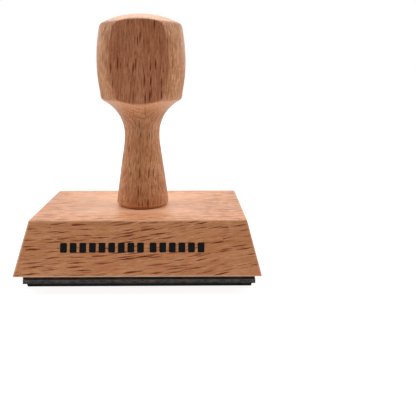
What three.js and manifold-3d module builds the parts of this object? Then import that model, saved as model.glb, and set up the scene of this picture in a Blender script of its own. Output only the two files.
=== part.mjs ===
// A wooden hand stamp: a turned beech handle on a bevelled beech block, with a sponge cushion and a
// rubber text plate under it. Millimetres, +Z up. The origin is the centre of the stamping face,
// X runs along the text, and the printed front of the block looks along -Y.
import * as THREE from "three";
import { mergeVertices } from "three/addons/utils/BufferGeometryUtils.js";
import Module from "manifold-3d";

const wasm = await Module();
wasm.setup();

// ---- driving dimensions -------------------------------------------------------------------------

const BASE_WIDTH = 75; // the block's underside
const BASE_DEPTH = 50;
const BLOCK_HEIGHT = 16.4;
const SIDE_INSET = 4.3; // how far each sloping side leans in between the underside and the top

const FRAME_WIDTH = 70.2; // outline of the raised frame that prints round the text
const FRAME_DEPTH = 35.5;
const PLATE_MARGIN = 1.2; // bare rubber outside the frame
const RELIEF_HEIGHT = 1.3;
const PLATE_FLOOR = 1.2; // rubber behind the relief
const FILM_THICKNESS = 0.15; // double-sided adhesive film
const CUSHION_THICKNESS = 3;
const GLUE_THICKNESS = 0.1;

const HANDLE_HEIGHT = 63.2;
const FOOT_RADIUS = 8.5;
const FOOT_BAND = 3; // straight band above the block
const FOOT_ROUNDING = 0.8;
const NECK_RADIUS = 5.8;
const NECK_HEIGHT = 24;
const SWEEP_RADIUS = 28; // hollow below the neck
const FLARE_RADIUS = 12.6; // hollow above the neck
const KNOB_RADIUS = 14.6;
const KNOB_MIDDLE = 48.3;
const KNOB_BULGE_RADIUS = 54;
const KNOB_LOWER_EDGE = 35.7;
const KNOB_UPPER_EDGE = 59.9;
const KNOB_EDGE_ROUNDING = 2;
const KNOB_FLAT_DISTANCE = 11.3; // from the axis to the milled finger flats

const SCREW_LENGTH = 35;
const SCREW_THREAD_RADIUS = 2;
const SCREW_CORE_RADIUS = 1.35;
const SCREW_SHANK_RADIUS = 1.6;
const SCREW_HEAD_RADIUS = 4;
const SCREW_HEAD_HEIGHT = 2.4;
const SCREW_POINT_LENGTH = 3;
const SCREW_SUNK = 0.4; // head below the block's underside
const THREAD_PITCH = 1.8;
const THREAD_LENGTH = 21;
const WOOD_GAP = 0.3; // between the screw and the wood

// ---- heights of the stack, from the stamping face up --------------------------------------------

const PLATE_TOP = RELIEF_HEIGHT + PLATE_FLOOR;
const CUSHION_BOTTOM = PLATE_TOP + FILM_THICKNESS;
const CUSHION_TOP = CUSHION_BOTTOM + CUSHION_THICKNESS;
const BLOCK_BOTTOM = CUSHION_TOP + FILM_THICKNESS;
const BLOCK_TOP = BLOCK_BOTTOM + BLOCK_HEIGHT;
const HANDLE_BOTTOM = BLOCK_TOP + GLUE_THICKNESS;

const PLATE_WIDTH = FRAME_WIDTH + 2 * PLATE_MARGIN;
const PLATE_DEPTH = FRAME_DEPTH + 2 * PLATE_MARGIN;

const TURNED_SEGMENTS = 64;
const SCREW_SEGMENTS = 24;

// ---- solids -------------------------------------------------------------------------------------

// A closed three.js geometry as a manifold solid.
function toSolid(geometry) {
  const bare = geometry.clone();
  bare.deleteAttribute("normal");
  bare.deleteAttribute("uv");
  const merged = mergeVertices(bare, 1e-4);
  return new wasm.Manifold(
    new wasm.Mesh({
      numProp: 3,
      vertProperties: new Float32Array(merged.attributes.position.array),
      triVerts: new Uint32Array(merged.index.array),
    }),
  );
}

// A manifold solid back as a three.js geometry.
function toGeometry(solid) {
  const mesh = solid.getMesh();
  const geometry = new THREE.BufferGeometry();
  geometry.setAttribute("position", new THREE.BufferAttribute(mesh.vertProperties, 3));
  geometry.setIndex(new THREE.BufferAttribute(mesh.triVerts, 1));
  geometry.computeVertexNormals();
  return geometry;
}

// A box standing on height z, centred on x and y.
function slab(width, depth, height, x = 0, y = 0, z = 0) {
  return new THREE.BoxGeometry(width, depth, height).translate(x, y, z + height / 2);
}

// A slab whose upper face is larger or smaller by `spread` on every side.
function taperedSlab(width, depth, height, spread, x = 0, y = 0, z = 0) {
  const geometry = new THREE.BoxGeometry(width, depth, height);
  const position = geometry.attributes.position;
  for (let i = 0; i < position.count; i++) {
    if (position.getZ(i) < 0) continue;
    position.setX(i, position.getX(i) + Math.sign(position.getX(i)) * spread);
    position.setY(i, position.getY(i) + Math.sign(position.getY(i)) * spread);
  }
  return geometry.translate(x, y, z + height / 2);
}

// A solid of revolution about Z from [radius, height] points listed from the bottom up.
function turned(profile, segments) {
  const points = profile.map(([radius, height]) => new THREE.Vector2(radius, height));
  return new THREE.LatheGeometry(points, segments).rotateX(Math.PI / 2);
}

// Points on an arc in the [radius, height] plane, both ends included.
function arc([centreR, centreZ], radius, startAngle, endAngle, steps) {
  return Array.from({ length: steps + 1 }, (_, i) => {
    const angle = startAngle + ((endAngle - startAngle) * i) / steps;
    return [centreR + radius * Math.cos(angle), centreZ + radius * Math.sin(angle)];
  });
}

// The arc that rounds the corner b between the straight runs a-b and b-c.
function rounding(a, b, c, radius, steps) {
  const corner = new THREE.Vector2(...b);
  const back = new THREE.Vector2(...a).sub(corner).normalize();
  const ahead = new THREE.Vector2(...c).sub(corner).normalize();
  const half = Math.acos(back.dot(ahead)) / 2;
  const middle = back.clone().add(ahead).normalize();
  const centre = corner.clone().addScaledVector(middle, radius / Math.sin(half));
  const first = corner.clone().addScaledVector(back, radius / Math.tan(half)).sub(centre);
  const last = corner.clone().addScaledVector(ahead, radius / Math.tan(half)).sub(centre);
  const turn = Math.atan2(first.cross(last), first.dot(last));
  const start = Math.atan2(first.y, first.x);
  return arc([centre.x, centre.y], radius, start, start + turn, steps);
}

// ---- handle -------------------------------------------------------------------------------------

// Radius of the flare above the neck at a height.
function flareRadius(z) {
  const rise = z - NECK_HEIGHT;
  return NECK_RADIUS + FLARE_RADIUS - Math.sqrt(FLARE_RADIUS ** 2 - rise ** 2);
}

// Radius of the barrel-shaped knob at a height.
function knobRadius(z) {
  const rise = z - KNOB_MIDDLE;
  return KNOB_RADIUS - KNOB_BULGE_RADIUS + Math.sqrt(KNOB_BULGE_RADIUS ** 2 - rise ** 2);
}

// Where the foot's straight taper meets the hollow below the neck, as an angle on that arc.
function taperTangentAngle(centre) {
  const toFoot = new THREE.Vector2(FOOT_RADIUS - centre[0], FOOT_BAND - centre[1]);
  return toFoot.angle() - Math.acos(SWEEP_RADIUS / toFoot.length());
}

function handleProfile() {
  const sweepCentre = [NECK_RADIUS + SWEEP_RADIUS, NECK_HEIGHT];
  const sweep = arc(sweepCentre, SWEEP_RADIUS, taperTangentAngle(sweepCentre), Math.PI, 6);

  const flareCentre = [NECK_RADIUS + FLARE_RADIUS, NECK_HEIGHT];
  const flareEndAngle = Math.PI - Math.asin((KNOB_LOWER_EDGE - NECK_HEIGHT) / FLARE_RADIUS);
  const flare = arc(flareCentre, FLARE_RADIUS, Math.PI, flareEndAngle, 12).slice(1);

  const bulgeCentre = [KNOB_RADIUS - KNOB_BULGE_RADIUS, KNOB_MIDDLE];
  const bulgeStart = Math.asin((KNOB_LOWER_EDGE - KNOB_MIDDLE) / KNOB_BULGE_RADIUS);
  const bulgeEnd = Math.asin((KNOB_UPPER_EDGE - KNOB_MIDDLE) / KNOB_BULGE_RADIUS);
  const bulge = arc(bulgeCentre, KNOB_BULGE_RADIUS, bulgeStart, bulgeEnd, 10);

  const crownRise = HANDLE_HEIGHT - KNOB_UPPER_EDGE;
  const crownEdge = knobRadius(KNOB_UPPER_EDGE);
  const crownRadius = (crownEdge ** 2 + crownRise ** 2) / (2 * crownRise);
  const crownStart = Math.acos(crownEdge / crownRadius);
  const crown = arc([0, HANDLE_HEIGHT - crownRadius], crownRadius, crownStart, Math.PI / 2, 8);
  crown[crown.length - 1] = [0, HANDLE_HEIGHT];

  const lowerEdge = [
    (flareRadius(KNOB_LOWER_EDGE) + knobRadius(KNOB_LOWER_EDGE)) / 2,
    KNOB_LOWER_EDGE,
  ];
  const upperEdge = [crownEdge, KNOB_UPPER_EDGE];
  const clearOf = (corner) => (point) =>
    Math.hypot(point[0] - corner[0], point[1] - corner[1]) > KNOB_EDGE_ROUNDING;
  const flareRun = flare.filter(clearOf(lowerEdge));
  const bulgeRun = bulge.filter(clearOf(lowerEdge)).filter(clearOf(upperEdge));
  const crownRun = crown.filter(clearOf(upperEdge));

  const footCentre = [FOOT_RADIUS - FOOT_ROUNDING, FOOT_ROUNDING];
  return [
    [0, 0],
    ...arc(footCentre, FOOT_ROUNDING, -Math.PI / 2, 0, 3),
    [FOOT_RADIUS, FOOT_BAND],
    ...sweep,
    ...flareRun,
    ...rounding(flareRun.at(-1), lowerEdge, bulgeRun[0], KNOB_EDGE_ROUNDING, 4),
    ...bulgeRun,
    ...rounding(bulgeRun.at(-1), upperEdge, crownRun[0], KNOB_EDGE_ROUNDING, 4),
    ...crownRun,
  ];
}

// The turned handle with a finger flat milled on its front and back and a pilot hole in its foot.
function makeHandle() {
  const cutterSize = 4 * KNOB_RADIUS;
  const cutterY = KNOB_FLAT_DISTANCE + cutterSize / 2;
  const front = slab(cutterSize, cutterSize, HANDLE_HEIGHT + 2, 0, -cutterY, -1);
  const back = slab(cutterSize, cutterSize, HANDLE_HEIGHT + 2, 0, cutterY, -1);
  const pilotRadius = SCREW_THREAD_RADIUS + WOOD_GAP;
  const pilotDepth = BLOCK_BOTTOM + SCREW_SUNK + SCREW_LENGTH + WOOD_GAP - HANDLE_BOTTOM;
  const pilot = turned(
    [
      [0, -1],
      [pilotRadius, -1],
      [pilotRadius, pilotDepth - SCREW_POINT_LENGTH],
      [0, pilotDepth],
    ],
    SCREW_SEGMENTS,
  );
  const solid = toSolid(turned(handleProfile(), TURNED_SEGMENTS))
    .subtract(toSolid(front))
    .subtract(toSolid(back))
    .subtract(toSolid(pilot));
  return toGeometry(solid);
}

// ---- block and its fixings ----------------------------------------------------------------------

// The bevelled block, drilled and countersunk from below for the handle's screw.
function makeBlock() {
  const body = taperedSlab(BASE_WIDTH, BASE_DEPTH, BLOCK_HEIGHT, -SIDE_INSET);
  const boreRadius = SCREW_THREAD_RADIUS + WOOD_GAP;
  const sinkRadius = SCREW_HEAD_RADIUS + WOOD_GAP;
  const sinkTop = SCREW_SUNK + SCREW_HEAD_HEIGHT + WOOD_GAP;
  const bore = turned(
    [
      [0, -1],
      [sinkRadius, -1],
      [sinkRadius, SCREW_SUNK + WOOD_GAP],
      [boreRadius, sinkTop],
      [boreRadius, BLOCK_HEIGHT + 1],
      [0, BLOCK_HEIGHT + 1],
    ],
    SCREW_SEGMENTS,
  );
  return toGeometry(toSolid(body).subtract(toSolid(bore)));
}

// One ridge of the wood thread, from its root up to its root again.
function threadRidge(z) {
  return [
    [SCREW_CORE_RADIUS, z],
    [SCREW_THREAD_RADIUS, z + THREAD_PITCH * 0.3],
    [SCREW_CORE_RADIUS, z + THREAD_PITCH * 0.6],
  ];
}

// A countersunk wood screw, head down, with a cross recess. Its ridges are closed rings.
function makeScrew() {
  const threadStart = SCREW_LENGTH - SCREW_POINT_LENGTH - THREAD_LENGTH;
  const turns = Math.floor(THREAD_LENGTH / THREAD_PITCH);
  const ridges = Array.from({ length: turns }, (_, i) => threadRidge(threadStart + i * THREAD_PITCH));
  const body = turned(
    [
      [0, 0],
      [SCREW_HEAD_RADIUS, 0],
      [SCREW_HEAD_RADIUS, 0.3],
      [SCREW_SHANK_RADIUS, SCREW_HEAD_HEIGHT],
      [SCREW_SHANK_RADIUS, threadStart - 0.4],
      ...ridges.flat(),
      [SCREW_CORE_RADIUS, SCREW_LENGTH - SCREW_POINT_LENGTH],
      [0, SCREW_LENGTH],
    ],
    SCREW_SEGMENTS,
  );
  const recessLength = SCREW_HEAD_RADIUS * 1.15;
  const recessWidth = 0.9;
  const recessDepth = 1.5;
  const recess = toSolid(taperedSlab(recessLength, recessWidth, recessDepth + 1, -0.3, 0, 0, -1)).add(
    toSolid(taperedSlab(recessWidth, recessLength, recessDepth + 1, -0.3, 0, 0, -1)),
  );
  return toGeometry(toSolid(body).subtract(recess));
}

// The ring of wood glue between the handle's foot and the block.
function makeGlue() {
  const inner = SCREW_THREAD_RADIUS + 2 * WOOD_GAP;
  const outer = FOOT_RADIUS - FOOT_ROUNDING;
  return turned(
    [
      [inner, 0],
      [outer, 0],
      [outer, GLUE_THICKNESS],
      [inner, GLUE_THICKNESS],
      [inner, 0],
    ],
    TURNED_SEGMENTS,
  );
}

// ---- text plate ---------------------------------------------------------------------------------

const FRAME_LINE = 0.6;
const SHOULDER = 0.35; // how much wider every raised line is at its root, on each side
const ROOT_DEPTH = 0.2; // how far the raised lines reach into the plate

const HEADING = { y: 13.1, height: 3.4, halfWidth: 18 };
const LINES = { count: 4, first: 6, spacing: 6, height: 2.2, inner: 1, outer: 30 };

// A raised bar whose sides spread towards the plate, set a little way into it.
function raisedBar(width, height, x, y) {
  return taperedSlab(width, height, RELIEF_HEIGHT + ROOT_DEPTH, SHOULDER, x, y);
}

// Lines of two equal bars, evenly spaced down the plate.
function raisedLines() {
  const width = LINES.outer - LINES.inner;
  const x = (LINES.outer + LINES.inner) / 2;
  const bars = [];
  for (let i = 0; i < LINES.count; i += 1) {
    const y = LINES.first - i * LINES.spacing;
    bars.push(raisedBar(width, LINES.height, -x, y), raisedBar(width, LINES.height, x, y));
  }
  return bars;
}

// The four sides of the raised frame.
function raisedFrame() {
  const x = (FRAME_WIDTH - FRAME_LINE) / 2;
  const y = (FRAME_DEPTH - FRAME_LINE) / 2;
  return [
    raisedBar(FRAME_WIDTH, FRAME_LINE, 0, -y),
    raisedBar(FRAME_WIDTH, FRAME_LINE, 0, y),
    raisedBar(FRAME_LINE, FRAME_DEPTH, -x, 0),
    raisedBar(FRAME_LINE, FRAME_DEPTH, x, 0),
  ];
}

// The rubber plate. A heading bar and plain lines of bars stand for whatever it prints.
function makeTextPlate() {
  const floor = slab(PLATE_WIDTH, PLATE_DEPTH, PLATE_FLOOR, 0, 0, RELIEF_HEIGHT);
  const bars = [
    ...raisedFrame(),
    raisedBar(2 * HEADING.halfWidth, HEADING.height, 0, HEADING.y),
    ...raisedLines(),
  ];
  return toGeometry(bars.reduce((plate, bar) => plate.add(toSolid(bar)), toSolid(floor)));
}

// ---- materials ----------------------------------------------------------------------------------

const handleBeech = new THREE.MeshStandardMaterial({ color: 0xc08a5e, roughness: 0.5, metalness: 0 });
const blockBeech = new THREE.MeshStandardMaterial({ color: 0xc9905f, roughness: 0.55, metalness: 0 });
const zincSteel = new THREE.MeshStandardMaterial({ color: 0xb9bcc0, roughness: 0.35, metalness: 1 });
const woodGlue = new THREE.MeshStandardMaterial({ color: 0xd8c59a, roughness: 0.4, metalness: 0 });
const adhesiveFilm = new THREE.MeshStandardMaterial({ color: 0x4a4338, roughness: 0.3, metalness: 0 });
const sponge = new THREE.MeshStandardMaterial({ color: 0x3f3f3b, roughness: 0.95, metalness: 0 });
const plateRubber = new THREE.MeshStandardMaterial({ color: 0x2b2a28, roughness: 0.7, metalness: 0 });

// ---- assembly -----------------------------------------------------------------------------------

// A named piece, with its own frame raised to height z.
function piece(name, geometry, material, z) {
  const mesh = new THREE.Mesh(geometry, material);
  mesh.name = name;
  mesh.position.z = z;
  return mesh;
}

const film = () => slab(PLATE_WIDTH, PLATE_DEPTH, FILM_THICKNESS);

const grip = new THREE.Group();
grip.add(
  piece("handle", makeHandle(), handleBeech, HANDLE_BOTTOM),
  piece("handle_screw", makeScrew(), zincSteel, BLOCK_BOTTOM + SCREW_SUNK),
  piece("handle_glue", makeGlue(), woodGlue, BLOCK_TOP),
);

const mount = new THREE.Group();
mount.add(
  piece("block", makeBlock(), blockBeech, BLOCK_BOTTOM),
  piece("upper_adhesive", film(), adhesiveFilm, CUSHION_TOP),
  piece("cushion", slab(PLATE_WIDTH, PLATE_DEPTH, CUSHION_THICKNESS), sponge, CUSHION_BOTTOM),
);

const printing = new THREE.Group();
printing.add(
  piece("lower_adhesive", film(), adhesiveFilm, PLATE_TOP),
  piece("text_plate", makeTextPlate(), plateRubber, 0),
);

const stamp = new THREE.Group();
stamp.add(grip, mount, printing);

export default stamp;
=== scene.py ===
# A wooden hand stamp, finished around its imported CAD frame: turned and planed beech, foam, rubber and ink.
import math

import bmesh
import bpy
from mathutils import Matrix, Vector, noise


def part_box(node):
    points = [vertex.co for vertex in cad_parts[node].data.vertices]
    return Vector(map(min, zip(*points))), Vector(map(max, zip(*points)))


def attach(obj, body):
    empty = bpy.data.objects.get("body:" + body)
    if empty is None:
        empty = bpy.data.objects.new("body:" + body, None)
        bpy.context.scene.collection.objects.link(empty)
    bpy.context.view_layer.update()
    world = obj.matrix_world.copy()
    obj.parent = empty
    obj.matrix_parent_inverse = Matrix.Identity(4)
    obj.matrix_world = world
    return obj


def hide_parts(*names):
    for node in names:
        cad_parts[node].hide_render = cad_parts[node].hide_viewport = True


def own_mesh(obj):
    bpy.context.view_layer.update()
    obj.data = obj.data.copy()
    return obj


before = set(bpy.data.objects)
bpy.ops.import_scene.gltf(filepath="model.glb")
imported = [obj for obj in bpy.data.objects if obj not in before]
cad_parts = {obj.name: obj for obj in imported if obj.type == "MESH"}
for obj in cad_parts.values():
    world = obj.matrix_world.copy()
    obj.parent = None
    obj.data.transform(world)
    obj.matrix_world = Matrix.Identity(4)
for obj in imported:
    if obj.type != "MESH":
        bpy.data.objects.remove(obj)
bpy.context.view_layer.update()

MM = 0.001

BODY = "stamp_body"

# ---- places and sizes, from the frame -----------------------------------------------------------

HANDLE_LOW, HANDLE_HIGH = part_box("handle")
BLOCK_LOW, BLOCK_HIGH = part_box("block")
CUSHION_LOW, CUSHION_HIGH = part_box("cushion")
PLATE_LOW, PLATE_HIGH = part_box("text_plate")

NEAR = 0.01 * MM  # how close a vertex lies to a face of the box that it is on
ON_AXIS = 0.001 * MM  # a point closer to the axis than this is on it


def vertices(node):
    """The corners of a CAD node's mesh."""
    return [v.co.copy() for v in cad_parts[node].data.vertices]


def relief_root():
    """The height of the text plate's underside between its raised lines."""
    return min(v.z for v in vertices("text_plate") if v.x > PLATE_HIGH.x - NEAR)


def block_top_half_size():
    """Half the width and depth of the block's flat top."""
    top = [v for v in vertices("block") if v.z > BLOCK_HIGH.z - NEAR]
    return max(v.x for v in top), max(v.y for v in top)


def meridian(node, smallest, largest):
    """(radius, height) of a turned node's rings that lie between two radii, from the bottom up."""
    rings = {}
    for v in vertices(node):
        if abs(v.y) < ON_AXIS and smallest <= v.x <= largest:
            height = round(v.z, 7)
            rings[height] = max(rings.get(height, 0.0), v.x)
    return [Vector((rings[z], z)) for z in sorted(rings)]


RELIEF_ROOT = relief_root()


# ---- camera -------------------------------------------------------------------------------------

CAMERA_PLACE = Vector((13.95, -179.6, 66.8)) * MM
CAMERA_TILT = math.radians(7.95)  # below the horizon
CAMERA_TURN = math.radians(0.67)  # towards +X
SENSOR_WIDTH = 36.0  # millimetres
LENS = 46.51442  # millimetres
SHIFT_X = 0.0433
SHIFT_Y = -0.1466


def make_camera():
    data = bpy.data.cameras.new("camera")
    data.sensor_width = SENSOR_WIDTH
    data.lens = LENS
    data.shift_x = SHIFT_X
    data.shift_y = SHIFT_Y
    data.clip_start = 0.01
    data.clip_end = 20.0
    camera = bpy.data.objects.new("camera", data)
    camera.location = CAMERA_PLACE
    camera.rotation_euler = (math.pi / 2 - CAMERA_TILT, 0.0, -CAMERA_TURN)
    bpy.context.scene.collection.objects.link(camera)
    bpy.context.scene.camera = camera


# ---- shader building ----------------------------------------------------------------------------


class Nodes:
    """Short calls that add the nodes of a shader to a tree."""

    def __init__(self, tree):
        self.tree = tree

    def node(self, kind, **settings):
        made = self.tree.nodes.new("ShaderNode" + kind)
        for key, value in settings.items():
            setattr(made, key, value)
        return made

    def feed(self, socket, value):
        if isinstance(value, bpy.types.NodeSocket):
            self.tree.links.new(value, socket)
        else:
            socket.default_value = value

    def math(self, operation, a, b=0.0):
        made = self.node("Math", operation=operation)
        self.feed(made.inputs[0], a)
        self.feed(made.inputs[1], b)
        return made.outputs[0]

    def vector(self, operation, a, b=(0.0, 0.0, 0.0)):
        made = self.node("VectorMath", operation=operation)
        self.feed(made.inputs[0], a)
        self.feed(made.inputs[1], b)
        return made.outputs["Value" if operation in ("LENGTH", "DOT_PRODUCT") else "Vector"]

    def combine(self, x, y, z):
        made = self.node("CombineXYZ")
        for socket, value in zip(made.inputs, (x, y, z)):
            self.feed(socket, value)
        return made.outputs[0]

    def part(self, vector, axis):
        """One coordinate of a vector, by its axis's letter."""
        made = self.node("SeparateXYZ")
        self.feed(made.inputs[0], vector)
        return made.outputs["XYZ".index(axis)]

    def step(self, value, low, high, at_low=0.0, at_high=1.0):
        """A smooth step from at_low, below low, to at_high, above high."""
        made = self.node("MapRange", interpolation_type="SMOOTHSTEP")
        for socket, number in zip(made.inputs, (value, low, high, at_low, at_high)):
            self.feed(socket, number)
        return made.outputs[0]

    def noise(self, place, detail=2.0, roughness=0.5, offset=(0.0, 0.0, 0.0)):
        made = self.node("TexNoise")
        self.feed(made.inputs["Vector"], self.vector("ADD", place, offset))
        self.feed(made.inputs["Scale"], 1.0)
        self.feed(made.inputs["Detail"], detail)
        self.feed(made.inputs["Roughness"], roughness)
        return made.outputs["Fac"]

    def mix(self, factor, a, b, blend="MIX"):
        made = self.node("Mix", data_type="RGBA", blend_type=blend)
        self.feed(made.inputs[0], factor)
        self.feed(made.inputs[6], a)
        self.feed(made.inputs[7], b)
        return made.outputs[2]


class Shader(Nodes):
    """A new material's nodes, round its one surface."""

    def __init__(self, name):
        self.material = bpy.data.materials.new(name)
        self.material.use_nodes = True
        super().__init__(self.material.node_tree)
        self.surface = self.tree.nodes["Principled BSDF"]

    def millimetres(self):
        """The point in the object's own coordinates, in millimetres."""
        place = self.node("TexCoord").outputs["Object"]
        return self.vector("MULTIPLY", place, (1 / MM, 1 / MM, 1 / MM))

    def bump(self, height, depth):
        """Raises the surface by height, from 0 to 1, times depth in metres."""
        made = self.node("Bump")
        self.feed(made.inputs["Strength"], 1.0)
        self.feed(made.inputs["Distance"], depth)
        self.feed(made.inputs["Height"], height)
        self.feed(self.surface.inputs["Normal"], made.outputs[0])

    def set(self, **sockets):
        """Sets the surface's sockets, named with underscores for spaces."""
        for name, value in sockets.items():
            self.feed(self.surface.inputs[name.replace("_", " ")], value)


def rgb(red, green, blue):
    return (red, green, blue, 1.0)


# ---- beech --------------------------------------------------------------------------------------

# Sizes and places in the beech shader are in millimetres, apart from the depth of its relief.

# Each piece's colours: the open wood and its deeper tone, the late wood of its rings, its flecks, the
# paler wood between the fibres, also laid on as painted sheen, the ends of the fibres, on the handle also
# painted light, and the wood where an edge is worn, paler also as a painted highlight along the arris.
BLOCK_COLORS = {
    "pale": rgb(0.815, 0.358, 0.164),
    "deep": rgb(0.755, 0.310, 0.134),
    "ring": rgb(0.480, 0.150, 0.052),
    "fleck": rgb(0.200, 0.032, 0.007),
    "planed_and_sheen": rgb(0.860, 0.480, 0.270),
    "end": rgb(0.600, 0.220, 0.085),
    "worn_and_highlight": rgb(0.930, 0.560, 0.350),
}
HANDLE_COLORS = {
    "pale": rgb(0.785, 0.380, 0.178),
    "deep": rgb(0.690, 0.305, 0.132),
    "ring": rgb(0.430, 0.150, 0.056),
    "fleck": rgb(0.150, 0.024, 0.006),
    "planed_and_sheen": rgb(0.810, 0.455, 0.262),
    # painted light: paler than the open wood, it lightens the handle's faces that look up and down
    "end": rgb(0.950, 0.570, 0.355),
    "worn_and_highlight": rgb(0.860, 0.500, 0.290),
}
# Each piece's figure. pith is how far off the middle of the rings lies, and fibre, hair, flake_depth and
# end grain are how strongly each shows; on the handle the end grain is paler, as painted light on its faces
# that look up and down. The rays show as thin flecks and dashes on one pair of faces and
# as broad flakes on the other. Each kind of spot has a cell to lie in and a half size, both along the
# grain and then across it.
BLOCK_TRAITS = {
    "pith": 70.0,
    "ring_spacing": 2.6,
    "fibre": 0.22,
    "hair": 0.3,
    "fleck_cell": (7.2, 1.0),
    "fleck_size": (4.8, 0.28),
    "fleck_share": 0.72,
    "dash_cell": (4.2, 0.75),
    "dash_size": (2.6, 0.21),
    "flake_cell": (5.5, 2.3),
    "flake_size": (3.8, 0.80),
    "flake_depth": 0.55,
    "end_grain_and_light": 0.3,
}
HANDLE_TRAITS = {
    "pith": 30.0,
    "ring_spacing": 1.15,
    "fibre": 0.6,
    "hair": 0.55,
    "fleck_cell": (4.4, 1.4),
    "fleck_size": (2.6, 0.23),
    "fleck_share": 0.55,
    "dash_cell": (2.6, 0.7),
    "dash_size": (1.5, 0.12),
    "flake_cell": (3.6, 1.1),
    "flake_size": (2.2, 0.4),
    "flake_depth": 0.3,
    "end_grain_and_light": 0.7,
}
FLAT_SHADE_TINT = rgb(0.96, 0.82, 0.86)  # painted shade that darkens the handle's two milled flats

# The sizes of the wood's mottling: along the grain, along the rays and across both.
TONE_SIZE = (26.0, 6.0, 5.0)
FIBRE_SIZE = (5.0, 0.50, 0.42)
HAIR_SIZE = (2.2, 0.40, 0.32)
PORE_SIZE = (0.6, 0.10, 0.10)
STREAK_SIZE = (4.5, 1.2, 12.0)
RAY_SIZE = (0.3, 6.0, 0.3)
RAGGED_SIZE = (1.6, 0.5, 0.5)
SPOT_CELL_HEIGHT = 14.0  # a spot's cell, straight into the wood
SPOT_HALF_HEIGHT = 40.0  # a spot's own, more than its cell's so that no cut ends it
DASH_SHARE = 0.45  # the share of the cells that hold a dash
FLAKE_SHARE = 0.85
WOOD_RELIEF = 0.06 * MM  # in metres


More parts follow.
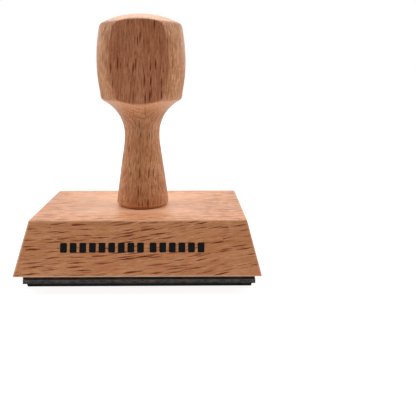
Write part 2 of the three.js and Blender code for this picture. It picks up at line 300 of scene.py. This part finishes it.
class Beech(Shader):
    """Beech whose grain runs along one axis, with its rays along a second, and a third across both."""

    def __init__(self, name, colors, traits, axes, slope, bend, wander, seed):
        super().__init__(name)
        self.colors = colors
        self.traits = traits
        self.axes = dict(zip(("along", "radial", "across"), axes))
        self.seed = seed
        self.set_coordinates(slope, bend, wander)
        normal = self.node("TexCoord").outputs["Normal"]
        self.facing = {
            name: self.math("ABSOLUTE", self.part(normal, axis)) for name, axis in self.axes.items()
        }

    def set_coordinates(self, slope, bend, wander):
        """The grain's own coordinates: the fibres lean, bend and wander through the piece."""
        place = self.millimetres()
        along = self.part(place, self.axes["along"])
        radial = self.part(place, self.axes["radial"])
        rate = self.math("ADD", self.math("MULTIPLY", along, bend), slope)
        lean = self.math("MULTIPLY", along, rate)
        across = self.math("SUBTRACT", self.part(place, self.axes["across"]), lean)
        slow = self.vector("MULTIPLY", place, (0.05, 0.05, 0.05))
        shift = self.math("SUBTRACT", self.noise(slow, 1.0, offset=self.offset(1)), 0.5)
        drift = self.math("SUBTRACT", self.noise(slow, 1.0, offset=self.offset(2)), 0.5)
        self.along = along
        self.across = self.math("ADD", across, self.math("MULTIPLY", shift, wander))
        self.radial = self.math("ADD", radial, self.math("MULTIPLY", drift, 2 * wander))

    def offset(self, layer):
        """A shift that sets a layer's pattern apart from the other layers' and from another piece's."""
        return (self.seed * 7.3 + layer * 31.7, self.seed * 3.1 - layer * 17.9, layer * 11.3)

    def stretched(self, along, radial, across):
        """The grain coordinates divided by a size in each direction."""
        return self.combine(
            self.math("DIVIDE", self.along, along),
            self.math("DIVIDE", self.radial, radial),
            self.math("DIVIDE", self.across, across),
        )

    def rings(self):
        """Growth rings about a far-off pith, from 0 in the early wood to 1 at the late wood's edge."""
        out = self.math("ADD", self.radial, self.traits["pith"])
        radius = self.vector("LENGTH", self.combine(out, self.across, 0.0))
        ring = self.math("FRACT", self.math("DIVIDE", radius, self.traits["ring_spacing"]))
        return self.math("POWER", ring, 4.0)

    def spindles(self, layer, kind, share, side_on=False):
        """Spindle-shaped spots in a share of the cells, and the stained wood round them."""

        def sized(length, width, height):
            return (length, width, height) if side_on else (length, height, width)

        cell = sized(*self.traits[kind + "_cell"], SPOT_CELL_HEIGHT)
        size = sized(*self.traits[kind + "_size"], SPOT_HALF_HEIGHT)
        place = self.vector("ADD", self.stretched(*cell), self.offset(layer))
        cells = self.node("TexVoronoi")
        self.feed(cells.inputs["Vector"], place)
        self.feed(cells.inputs["Scale"], 1.0)
        from_middle = self.vector("SUBTRACT", place, cells.outputs["Position"])
        reach = tuple(whole / half for whole, half in zip(cell, size))
        distance = self.vector("DOT_PRODUCT", self.vector("ABSOLUTE", from_middle), reach)
        ragged = self.noise(self.stretched(*RAGGED_SIZE), 1.0, offset=self.offset(layer + 20))
        distance = self.math("ADD", distance, self.step(ragged, 0.35, 0.65, -0.1, 0.1))
        chance = self.node("SeparateColor")
        self.feed(chance.inputs[0], cells.outputs["Color"])
        to_be_there, to_be_small, to_be_dark = chance.outputs
        smallness = self.step(to_be_small, 0.0, 1.0, 0.75, 1.5)
        distance = self.math("MULTIPLY", distance, smallness)
        present = self.step(to_be_there, 1.0 - share, 1.0 - share + 0.1)
        depth = self.math("MULTIPLY", present, self.step(to_be_dark, 0.0, 1.0, 0.6, 1.0))
        spot = self.step(distance, 0.7, 0.95, 1.0, 0.0)
        stain = self.step(distance, 0.5, 1.6, 0.15, 0.0)
        return self.math("MULTIPLY", spot, depth), self.math("MULTIPLY", stain, depth)

    def blend_in(self, color, target, amount, strength=1.0):
        """The colour, turned by amount times strength towards one of the piece's named colours."""
        return self.mix(self.math("MULTIPLY", amount, strength), color, self.colors[target])

    def add_fibres(self, color, fibre, hair, pores):
        """The growth rings and the fibres, which show less where they are cut across."""
        rings_shown = self.step(self.facing["along"], 0.2, 0.6, 0.35, 1.0)
        fibre_strength = self.traits["fibre"]
        fibres_shown = self.step(self.facing["along"], 0.45, 0.95, fibre_strength, 0.3 * fibre_strength)
        color = self.blend_in(color, "ring", self.rings(), rings_shown)
        color = self.blend_in(color, "ring", self.step(fibre, 0.48, 0.58, 0.0, 0.8), fibres_shown)
        color = self.blend_in(color, "planed_and_sheen", self.step(fibre, 0.34, 0.47, 0.45, 0.0))
        color = self.blend_in(color, "ring", self.step(hair, 0.48, 0.6, 0.0, 0.8), self.traits["hair"])
        return self.blend_in(color, "fleck", self.step(pores, 0.56, 0.74, 0.0, 0.3))

    def add_rays(self, color, flecks, stain, side_on):
        """The rays: flecks and dashes where they are cut through, flakes and streaks seen side on."""
        cut_through = self.step(self.facing["radial"], 0.5, 0.96, 0.1, 1.0)
        dashes, _ = self.spindles(7, "dash", DASH_SHARE)
        flakes, _ = self.spindles(9, "flake", FLAKE_SHARE, side_on=True)
        streak = self.noise(self.stretched(*STREAK_SIZE), 3.0, 0.6, self.offset(12))
        streaks = self.math("MULTIPLY", self.step(streak, 0.55, 0.58), side_on)
        color = self.blend_in(color, "fleck", self.math("MULTIPLY", dashes, cut_through), 0.4)
        color = self.blend_in(color, "ring", stain, cut_through)
        color = self.blend_in(color, "fleck", flecks, cut_through)
        flakes = self.math("MULTIPLY", flakes, side_on)
        color = self.blend_in(color, "fleck", flakes, self.traits["flake_depth"])
        return self.blend_in(color, "ring", streaks, 0.5)

    def add_end_grain_and_light(self, color):
        """The ends of the fibres, where the wood is cut across; on the handle their paler colour is also
        painted light on the faces that look up and down.
        """
        rays = self.noise(self.stretched(*RAY_SIZE), 2.0, 0.6, self.offset(10))
        end_grain_and_light = self.mix(self.step(rays, 0.3, 0.6), self.colors["deep"], self.colors["end"])
        cut_across = self.step(self.facing["along"], 0.45, 0.95)
        return self.mix(self.math("MULTIPLY", cut_across, self.traits["end_grain_and_light"]), color, end_grain_and_light)

    def finish(self, flat_shade=None):
        """Makes the surface. The optional mask is how far a point is on a milled flat, whose wood is
        darkened there as painted shade.
        """
        tone = self.noise(self.stretched(*TONE_SIZE), 2.0, offset=self.offset(3))
        fibre = self.noise(self.stretched(*FIBRE_SIZE), 3.0, 0.6, self.offset(4))
        hair = self.noise(self.stretched(*HAIR_SIZE), 2.0, 0.6, self.offset(5))
        pores = self.noise(self.stretched(*PORE_SIZE), 1.0, 0.5, self.offset(6))
        flecks, stain = self.spindles(8, "fleck", self.traits["fleck_share"])
        side_on = self.step(self.facing["across"], 0.25, 0.8)

        color = self.mix(self.step(tone, 0.35, 0.65), self.colors["deep"], self.colors["pale"])
        # Painted sheen: the faces that see the rays side on, the block's top and the handle's sides, turn
        # 0.42 towards the paler planed colour.
        color = self.blend_in(color, "planed_and_sheen", side_on, 0.42)
        color = self.add_fibres(color, fibre, hair, pores)
        color = self.add_rays(color, flecks, stain, side_on)
        color = self.add_end_grain_and_light(color)
        # Painted shade: the milled flats are darkened.
        if flat_shade:
            color = self.mix(flat_shade, color, FLAT_SHADE_TINT, "MULTIPLY")
        # Wear and painted highlight: the sharpest edges turn towards the paler worn colour, for the bright
        # line along each arris.
        wear_and_highlight = self.step(self.node("NewGeometry").outputs["Pointiness"], 0.51, 0.57, 0.0, 0.6)
        color = self.blend_in(color, "worn_and_highlight", wear_and_highlight)

        height = fibre
        for hollow, depth in ((flecks, 0.35), (hair, 0.4), (pores, 0.3)):
            height = self.math("SUBTRACT", height, self.math("MULTIPLY", hollow, depth))
        self.bump(height, WOOD_RELIEF)
        roughness = self.step(tone, 0.3, 0.7, 0.36, 0.46)
        self.set(Base_Color=color, Roughness=roughness, Specular_IOR_Level=0.3)
        return self.material


# ---- other finishes -----------------------------------------------------------------------------


def foam_finish():
    """Black sponge rubber, its black deepened as painted shade under the block: fine cells with painted
    shade in their hollows, a cloudy black, and a little grey dust.
    """
    s = Shader("sponge")
    place = s.millimetres()
    cells = s.node("TexVoronoi")
    s.feed(cells.inputs["Vector"], place)
    s.feed(cells.inputs["Scale"], 2.6)
    cell = s.step(cells.outputs["Distance"], 0.1, 0.6)
    cloud = s.noise(s.vector("MULTIPLY", place, (0.35, 0.35, 0.8)), 4.0, 0.65)
    dust = s.noise(s.vector("MULTIPLY", place, (1.3, 1.3, 1.8)), 3.0, 0.6, (5.0, 2.0, 7.0))
    # Near-black, partly the foam's own black and partly painted shade under the block's overhang.
    color = s.mix(s.step(cloud, 0.38, 0.64), rgb(0.010, 0.010, 0.010), rgb(0.032, 0.032, 0.030))
    color = s.mix(s.step(dust, 0.55, 0.72, 0.0, 0.4), color, rgb(0.085, 0.084, 0.076))
    # Painted shade: the hollows of the open cells are darkened.
    color = s.mix(s.step(cell, 0.0, 0.55, 0.55, 0.0), color, rgb(0.005, 0.005, 0.005))
    s.bump(cell, 0.10 * MM)
    s.set(Base_Color=color, Roughness=0.92, Specular_IOR_Level=0.3)
    return s.material


def rubber_finish():
    """Black plate rubber: grey with dust and talc on its cut edge, darker towards its bottom as painted
    shade, and black with ink on its raised lines.
    """
    s = Shader("plate_rubber")
    place = s.millimetres()
    height = s.part(place, "Z")
    cloud = s.noise(s.vector("MULTIPLY", place, (0.42, 0.42, 1.1)), 4.0, 0.7)
    smear = s.noise(s.vector("MULTIPLY", place, (0.09, 0.09, 0.2)), 2.0, 0.5, (8.0, 1.0, 3.0))
    grain = s.noise(s.vector("MULTIPLY", place, (6.0, 6.0, 6.0)), 2.0, 0.6, (4.0, 9.0, 2.0))
    dusty = s.mix(s.step(smear, 0.4, 0.6), rgb(0.102, 0.112, 0.100), rgb(0.126, 0.112, 0.104))
    color = s.mix(s.step(cloud, 0.36, 0.62), rgb(0.034, 0.037, 0.037), dusty)
    color = s.mix(s.step(grain, 0.60, 0.8, 0.0, 0.4), color, rgb(0.13, 0.13, 0.12))
    floor = RELIEF_ROOT / MM
    # Painted shade: the cut edge darkens over its lowest 0.9 mm, just above the raised lines.
    color = s.mix(s.step(height, floor, floor + 0.9, 0.55, 0.0), color, rgb(0.012, 0.012, 0.012))
    inked = s.step(height, floor - 0.12, floor - 0.02, 1.0, 0.0)
    color = s.mix(inked, color, rgb(0.0015, 0.0015, 0.0018))
    s.bump(grain, 0.03 * MM)
    s.set(Base_Color=color, Roughness=s.step(cloud, 0.3, 0.7, 0.62, 0.82), Specular_IOR_Level=0.15)
    return s.material


def ink_finish():
    """Black marking ink, thinner where the wood's fibres stood up."""
    s = Shader("marking_ink")
    place = s.millimetres()
    fibres = s.noise(s.vector("MULTIPLY", place, (0.4, 2.4, 2.4)), 3.0, 0.65)
    thin = s.step(fibres, 0.56, 0.78, 0.0, 0.75)
    color = s.mix(thin, rgb(0.003, 0.003, 0.003), rgb(0.030, 0.014, 0.009))
    s.bump(fibres, 0.03 * MM)
    s.set(Base_Color=color, Roughness=s.step(fibres, 0.3, 0.7, 0.6, 0.8), Specular_IOR_Level=0.25)
    return s.material


def zinc_finish():
    """Bright zinc plate, a little yellowed, with fine turning marks."""
    s = Shader("zinc_steel")
    place = s.millimetres()
    marks = s.noise(s.vector("MULTIPLY", place, (0.6, 0.6, 9.0)), 2.0)
    cloud = s.noise(s.vector("MULTIPLY", place, (0.5, 0.5, 0.5)), 2.0, 0.5, (3.0, 1.0, 8.0))
    color = s.mix(cloud, rgb(0.52, 0.52, 0.54), rgb(0.60, 0.57, 0.48))
    s.bump(marks, 0.01 * MM)
    s.set(Base_Color=color, Metallic=1.0, Roughness=s.step(cloud, 0.3, 0.7, 0.25, 0.42))
    return s.material


def glue_finish():
    """Dried wood glue, squeezed flat and browned by the wood."""
    s = Shader("wood_glue")
    cloud = s.noise(s.vector("MULTIPLY", s.millimetres(), (0.9, 0.9, 0.9)), 3.0)
    color = s.mix(cloud, rgb(0.30, 0.17, 0.08), rgb(0.48, 0.33, 0.19))
    s.bump(cloud, 0.05 * MM)
    s.set(Base_Color=color, Roughness=s.step(cloud, 0.3, 0.7, 0.28, 0.45))
    return s.material


def film_finish():
    """Tinted adhesive film, dusty where its cut edge is open."""
    s = Shader("adhesive_film")
    cloud = s.noise(s.vector("MULTIPLY", s.millimetres(), (0.8, 0.8, 3.0)), 3.0)
    color = s.mix(cloud, rgb(0.030, 0.027, 0.022), rgb(0.085, 0.070, 0.050))
    s.bump(cloud, 0.02 * MM)
    s.set(Base_Color=color, Roughness=s.step(cloud, 0.3, 0.7, 0.3, 0.55))
    return s.material


# ---- mesh building ------------------------------------------------------------------------------

SAME_PLACE = 0.0005 * MM  # vertices closer than this are one
ROUND = 0.5  # a bevel's profile that is an arc


def add_object(name, mesh, material):
    mesh.materials.clear()
    mesh.materials.append(material)
    made = bpy.data.objects.new(name, mesh)
    bpy.context.scene.collection.objects.link(made)
    return made


def from_bmesh(name, bm, material, crease=35.0):
    """An object from a bmesh, shaded smooth except across edges sharper than crease, in degrees."""
    bmesh.ops.recalc_face_normals(bm, faces=bm.faces[:])
    mesh = bpy.data.meshes.new(name)
    bm.to_mesh(mesh)
    bm.free()
    mesh.shade_smooth()
    mesh.set_sharp_from_angle(angle=math.radians(crease))
    return add_object(name, mesh, material)


def apply_modifiers(made):
    """Makes what the object's modifiers show its own mesh."""
    shown = made.evaluated_get(bpy.context.evaluated_depsgraph_get())
    mesh = bpy.data.meshes.new_from_object(shown)
    made.modifiers.clear()
    made.data = mesh


def smooth_curve(points, spacing):
    """Points along a Catmull-Rom curve through the given ones, about spacing apart."""
    padded = [2 * points[0] - points[1], *points, 2 * points[-1] - points[-2]]
    found = []
    for before, start, end, after in zip(padded, padded[1:], padded[2:], padded[3:]):
        count = max(1, round((end - start).length / spacing))
        for i in range(count):
            t = i / count
            found.append(
                0.5
                * (
                    2 * start
                    + (end - before) * t
                    + (2 * before - 5 * start + 4 * end - after) * t**2
                    + (3 * start - before - 3 * end + after) * t**3
                )
            )
    found.append(points[-1])
    return found


def eased_clamp(value, limit, ease):
    """value held between -limit and limit, with the corner eased over a distance."""
    size = abs(value)
    near = max(ease - abs(size - limit), 0.0) / ease
    return math.copysign(min(size, limit) - near * near * ease / 4, value)


def revolve(bm, profile, segments, shape=None):
    """Turns (radius, height) points about Z. shape may move each point, given its angle."""
    rings = []
    for radius, height in profile:
        if radius < ON_AXIS:
            rings.append([bm.verts.new((0.0, 0.0, height))])
            continue
        ring = []
        for i in range(segments):
            angle = math.tau * i / segments
            place = Vector((radius * math.cos(angle), radius * math.sin(angle), height))
            ring.append(bm.verts.new(shape(place, angle) if shape else place))
        rings.append(ring)
    for low, high in zip(rings, rings[1:]):
        for i in range(segments):
            j = (i + 1) % segments
            corners = [low[i % len(low)], low[j % len(low)], high[j % len(high)], high[i % len(high)]]
            face = list(dict.fromkeys(corners))
            if len(face) > 2:
                bm.faces.new(face)


# ---- handle -------------------------------------------------------------------------------------

HANDLE_SEGMENTS = 256
PROFILE_SPACING = 0.45 * MM
FLAT_EASE = 0.35 * MM
PILOT_RADIUS = 3 * MM  # more than the pilot hole's, and less than the foot's
PILOT_DEPTH = 25 * MM  # more than the pilot hole's
CROWN_DEPTH = 3 * MM  # how far below the top the crown still comes within that radius
FLAT_SHADE_FADE = (0.25, 0.1)  # how far inside a flat its painted shade starts, and is full, in millimetres


def make_handle():
    """The turned handle: the CAD node's own profile made fine, its flats eased, its pilot hole kept."""
    whole = meridian("handle", 0.0, HANDLE_HIGH.z)
    outer = [p for p in whole if p.x > PILOT_RADIUS or p.y > HANDLE_HIGH.z - CROWN_DEPTH]
    inner = [p for p in meridian("handle", 0.0, PILOT_RADIUS) if p.y < HANDLE_LOW.z + PILOT_DEPTH]
    flat = HANDLE_HIGH.y
    foot = Vector((inner[0].x, HANDLE_LOW.z))
    profile = [*reversed(inner), foot, *smooth_curve(outer, PROFILE_SPACING)]

    def mill(place, _angle):
        place.y = eased_clamp(place.y, flat, FLAT_EASE)
        return place

    bm = bmesh.new()
    revolve(bm, profile, HANDLE_SEGMENTS, mill)
    bmesh.ops.remove_doubles(bm, verts=bm.verts[:], dist=SAME_PLACE)
    wood = Beech(
        "handle_beech",
        HANDLE_COLORS,
        HANDLE_TRAITS,
        axes=("Z", "Y", "X"),
        slope=0.01,
        bend=0.0002,
        wander=1.2,
        seed=2,
    )
    # Painted shade on the two milled flats, full a little way inside their edges.
    depth = wood.math("ABSOLUTE", wood.part(wood.millimetres(), "Y"))
    flat_shade = wood.step(depth, *(flat / MM - inside for inside in FLAT_SHADE_FADE))
    made = from_bmesh("turned_handle", bm, wood.finish(flat_shade), 40.0)
    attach(made, BODY)
    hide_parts("handle")


# ---- block --------------------------------------------------------------------------------------

ARRIS = 0.3 * MM  # the sanded-off width along each edge
WORN_AND_HIGHLIGHT_BORDER = 0.8 * MM  # beside each arris, where the mesh is fine enough to show its wear and painted highlight
BORE_RADII = (0.5 * MM, 6 * MM)  # the bore's and its countersink's lie between these
BORE_REACH = 1 * MM  # how far the bore's cutter runs out of the wood
BORE_SEGMENTS = 64


def drill(block, material):
    """Cuts the CAD node's own bore and countersink out of the block."""
    bore = meridian("block", *BORE_RADII)
    below = bore[0].y - BORE_REACH
    above = bore[-1].y + BORE_REACH
    profile = [
        Vector((0.0, below)),
        Vector((bore[0].x, below)),
        *bore[1:-1],
        Vector((bore[-1].x, above)),
        Vector((0.0, above)),
    ]
    bm = bmesh.new()
    revolve(bm, profile, BORE_SEGMENTS)
    cutter = from_bmesh("bore_cutter", bm, material)
    cut = block.modifiers.new("bore", "BOOLEAN")
    cut.operation = "DIFFERENCE"
    cut.solver = "EXACT"
    cut.object = cutter
    apply_modifiers(block)
    bpy.data.objects.remove(cutter)


def make_block():
    """The planed block with sanded arrises, drilled and countersunk from below."""
    half_x, half_y = block_top_half_size()
    bm = bmesh.new()
    corners = ((-1, -1), (1, -1), (1, 1), (-1, 1))
    low = [bm.verts.new((x * BLOCK_HIGH.x, y * BLOCK_HIGH.y, BLOCK_LOW.z)) for x, y in corners]
    high = [bm.verts.new((x * half_x, y * half_y, BLOCK_HIGH.z)) for x, y in corners]
    bm.faces.new(low)
    bm.faces.new(high)
    for i in range(4):
        j = (i + 1) % 4
        bm.faces.new((low[i], low[j], high[j], high[i]))
    bmesh.ops.bevel(bm, geom=bm.edges[:], offset=ARRIS, segments=3, profile=ROUND, affect="EDGES")
    broad = sorted(bm.faces, key=lambda face: face.calc_area())[-6:]
    for _ in range(2):
        bmesh.ops.inset_individual(bm, faces=broad, thickness=WORN_AND_HIGHLIGHT_BORDER / 2)
    wood = Beech(
        "block_beech",
        BLOCK_COLORS,
        BLOCK_TRAITS,
        axes=("X", "Y", "Z"),
        slope=0.105,
        bend=0.0009,
        wander=2.2,
        seed=5,
    )
    made = from_bmesh("planed_block", bm, wood.finish(), 50.0)
    drill(made, wood.material)
    made.modifiers.new("even_shading", "WEIGHTED_NORMAL").keep_sharp = True
    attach(made, BODY)
    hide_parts("block")


# ---- mark on the block's front ------------------------------------------------------------------

MARK_X = -1.0 * MM  # centre of the mark
MARK_BASELINE = 9.7 * MM  # below the block's top, down the slope
MARK_HEIGHT = 2.95 * MM
MARK_PROUD = 0.03 * MM
MARK_GROUPS = ((-22.4 * MM, 9), (4.6 * MM, 6))  # (start from the mark's centre, number of bars)
MARK_BAR = 2.05 * MM
MARK_GAP = 0.85 * MM
MARK_ROUNDING = 0.35 * MM


def add_slab(bm, matrix, size, rounding, segments):
    """A box of a size, centred on the matrix, with its four upright edges rounded."""
    made = bmesh.ops.create_cube(bm, size=1.0, matrix=matrix @ Matrix.Diagonal((*size, 1.0)))
    normal = (matrix.to_3x3() @ Vector((0, 0, 1))).normalized()
    edges = {e for v in made["verts"] for e in v.link_edges}
    upright = [e for e in edges if abs((e.verts[1].co - e.verts[0].co).dot(normal)) > size[2] / 2]
    bmesh.ops.bevel(bm, geom=upright, offset=rounding, segments=segments, profile=ROUND, affect="EDGES")


def make_mark():
    """Plain ink bars in two groups, where such a stamp carries a line that says what it prints."""
    _, half_y = block_top_half_size()
    slope = math.atan2(-half_y - BLOCK_LOW.y, BLOCK_HIGH.z - BLOCK_LOW.z)
    face = Matrix.Translation((0.0, -half_y, BLOCK_HIGH.z)) @ Matrix.Rotation(math.pi / 2 - slope, 4, "X")
    bm = bmesh.new()
    for start, count in MARK_GROUPS:
        for i in range(count):
            x = MARK_X + start + i * (MARK_BAR + MARK_GAP) + MARK_BAR / 2
            place = face @ Matrix.Translation((x, -MARK_BASELINE + MARK_HEIGHT / 2, 0.0))
            add_slab(bm, place, (MARK_BAR, MARK_HEIGHT, 2 * MARK_PROUD), MARK_ROUNDING, 4)
    made = from_bmesh("index_mark", bm, ink_finish())
    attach(made, BODY)


# ---- cushion ------------------------------------------------------------------------------------

EDGE_SPACING = 0.5 * MM
EDGE_ROWS = 7
EDGE_ROUGHNESS = 0.09 * MM
EDGE_BULGE = 0.12 * MM
EDGE_LEAN = 0.2 * MM
FINE_TEARS = 0.7 * MM  # the size of the cut's small tears
SLOW_WAVES = 9 * MM  # and of the waves that the knife left


def rectangle(low, high, spacing):
    """(point, outward direction) round a rectangle, counter-clockwise, about spacing apart."""
    places = ((low.x, low.y), (high.x, low.y), (high.x, high.y), (low.x, high.y))
    corners = [Vector(place) for place in places]
    found = []
    for i, start in enumerate(corners):
        end = corners[(i + 1) % 4]
        run = end - start
        outward = Vector((run.y, -run.x)).normalized()
        count = round(run.length / spacing)
        for k in range(count):
            found.append((start + run * (k / count), outward))
    return found


def cut_sheet(bm, low, high):
    """A slab of soft sheet whose knife-cut edges are rough, bulge a little and lean in lower down."""
    outline = rectangle(low, high, EDGE_SPACING)
    rows = []
    for k in range(EDGE_ROWS):
        t = k / (EDGE_ROWS - 1)
        z = low.z + (high.z - low.z) * t
        row = []
        for point, outward in outline:
            place = Vector((point.x, point.y, z))
            rough = noise.noise(place / FINE_TEARS) + noise.noise(place / SLOW_WAVES)
            bulge = EDGE_BULGE * (math.sin(math.pi * t) - 1.0)
            moved = point + outward * (rough * EDGE_ROUGHNESS + bulge - EDGE_LEAN * (1.0 - t))
            row.append(bm.verts.new((moved.x, moved.y, z)))
        rows.append(row)
    count = len(outline)
    for lower, upper in zip(rows, rows[1:]):
        for i in range(count):
            j = (i + 1) % count
            bm.faces.new((lower[i], lower[j], upper[j], upper[i]))
    bm.faces.new(rows[0])
    bm.faces.new(rows[-1])


def make_cushion():
    bm = bmesh.new()
    cut_sheet(bm, CUSHION_LOW, CUSHION_HIGH)
    made = from_bmesh("foam_cushion", bm, foam_finish())
    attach(made, BODY)
    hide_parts("cushion")
    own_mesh(made)


# ---- stage --------------------------------------------------------------------------------------

FLOOR_HALF_SIZE = 6.0
FLOOR_GAP = 0.02 * MM  # keeps the printing face clear of the table

# Each light's name, place, width, height and power in watts.
SOFTBOXES = (
    ("softbox_top", (0.0, 0.0, 0.6), 0.6, 0.6, 0.55),
    ("softbox_top_back", (0.0, 0.4, 0.5), 0.5, 0.4, 1.85),
    ("softbox_left", (-0.4, 0.0, 0.4), 0.4, 0.3, 1.82),
    ("softbox_right", (0.4, 0.0, 0.4), 0.4, 0.3, 1.78),
)


def make_floor():
    """A white table. The camera sees it evenly lit, and it lights the object from close by only."""
    s = Shader("floor_white")
    far = s.vector("LENGTH", s.node("TexCoord").outputs["Object"])
    near = s.step(far, 0.12, 0.3, 0.87, 0.0)
    shown = s.step(far, 0.1, 0.5, 0.91, 1.0)
    seen = s.node("LightPath").outputs["Is Camera Ray"]
    s.set(Base_Color=rgb(0.2, 0.2, 0.2), Roughness=0.9, Specular_IOR_Level=0.1)
    s.set(Emission_Color=rgb(1.0, 1.0, 1.0), Emission_Strength=s.step(seen, 0.0, 1.0, near, shown))
    bm = bmesh.new()
    bmesh.ops.create_grid(bm, x_segments=1, y_segments=1, size=FLOOR_HALF_SIZE)
    floor = from_bmesh("floor", bm, s.material)
    floor.location.z = PLATE_LOW.z - FLOOR_GAP


def add_softbox(name, place, width, height, power):
    """A rectangle of light, aimed at the middle of the object."""
    data = bpy.data.lights.new(name, "AREA")
    data.shape = "RECTANGLE"
    data.size = width
    data.size_y = height
    data.energy = power
    light = bpy.data.objects.new(name, data)
    light.location = place
    towards = Vector((0.0, 0.0, HANDLE_HIGH.z / 2)) - light.location
    light.rotation_euler = towards.to_track_quat("-Z", "Y").to_euler()
    bpy.context.scene.collection.objects.link(light)


def make_world():
    """A studio with a white backdrop low behind the object. The camera sees white all round."""
    world = bpy.data.worlds.new("studio")
    bpy.context.scene.world = world
    world.use_nodes = True
    w = Nodes(world.node_tree)
    direction = w.node("TexCoord").outputs["Generated"]
    behind = w.part(direction, "Y")
    up = w.part(direction, "Z")
    low = w.step(up, 0.15, 0.4, 1.0, 0.0)
    studio = w.math("MULTIPLY", w.step(behind, 0.3, 0.8, 0.0, 1.58), low)
    seen = w.node("LightPath").outputs["Is Camera Ray"]
    background = world.node_tree.nodes["Background"]
    w.feed(background.inputs["Color"], (1.0, 1.0, 1.0, 1.0))
    w.feed(background.inputs["Strength"], w.step(seen, 0.0, 1.0, studio, 1.0))


def paint(node, material):
    """Gives a CAD node that stays as it is its finish."""
    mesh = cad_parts[node].data
    mesh.materials.clear()
    mesh.materials.append(material)


make_camera()
make_floor()
for softbox in SOFTBOXES:
    add_softbox(*softbox)
make_world()
bpy.context.scene.view_settings.view_transform = "Standard"

make_handle()
make_block()
make_mark()
make_cushion()
paint("handle_screw", zinc_finish())
paint("handle_glue", glue_finish())
film = film_finish()
paint("upper_adhesive", film)
paint("lower_adhesive", film)
paint("text_plate", rubber_finish())
